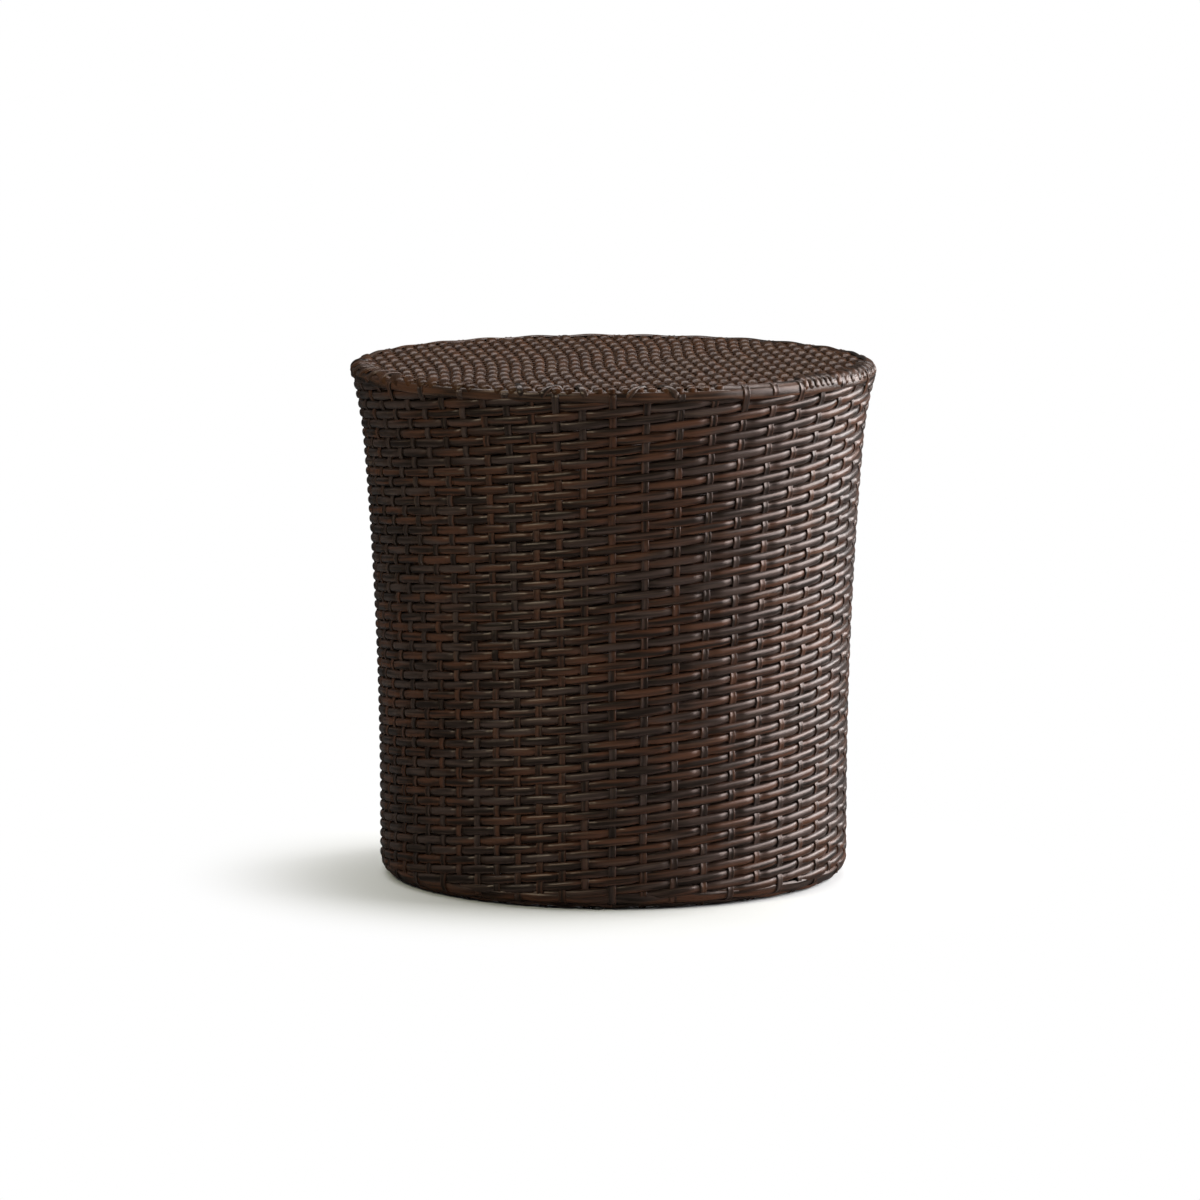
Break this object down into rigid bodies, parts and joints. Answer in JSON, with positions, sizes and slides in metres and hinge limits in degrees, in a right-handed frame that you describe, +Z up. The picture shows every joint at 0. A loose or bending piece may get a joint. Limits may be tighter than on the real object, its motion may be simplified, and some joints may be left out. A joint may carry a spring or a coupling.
{
  "type": "woven drum side table",
  "caption": "Round side table with a woven resin rattan drum body that flares to a flat woven top, on a welded tube frame with small foot glides.",
  "frame": {"origin": "on the floor under the middle of the table", "axes": "+Z up along the table's axis, -Y to the front, +X to the right seen from the front"},
  "size_m": [0.465, 0.465, 0.458],
  "materials": {
    "strand": "satin, streaked dark brown resin strand",
    "frame_tube": "dark brown powder coat",
    "glide": "black moulded"
  },
  "bodies": {
    "root": {"top_ring": "frame_tube", "bottom_ring": "frame_tube", "waist_hoop": "frame_tube", "crossbar_long": "frame_tube", "crossbar_half_left": "frame_tube", "crossbar_half_right": "frame_tube", "upright_front": "frame_tube", "upright_right": "frame_tube", "upright_back": "frame_tube", "upright_left": "frame_tube", "foot_glide_front": "glide", "foot_glide_right": "glide", "foot_glide_back": "glide", "foot_glide_left": "glide", "side_stakes": "strand", "side_weave": "strand", "top_stakes": "strand", "top_weave": "strand", "top_rim_wrap": "strand", "bottom_rim_wrap": "strand"}
  },
  "joints": []
}
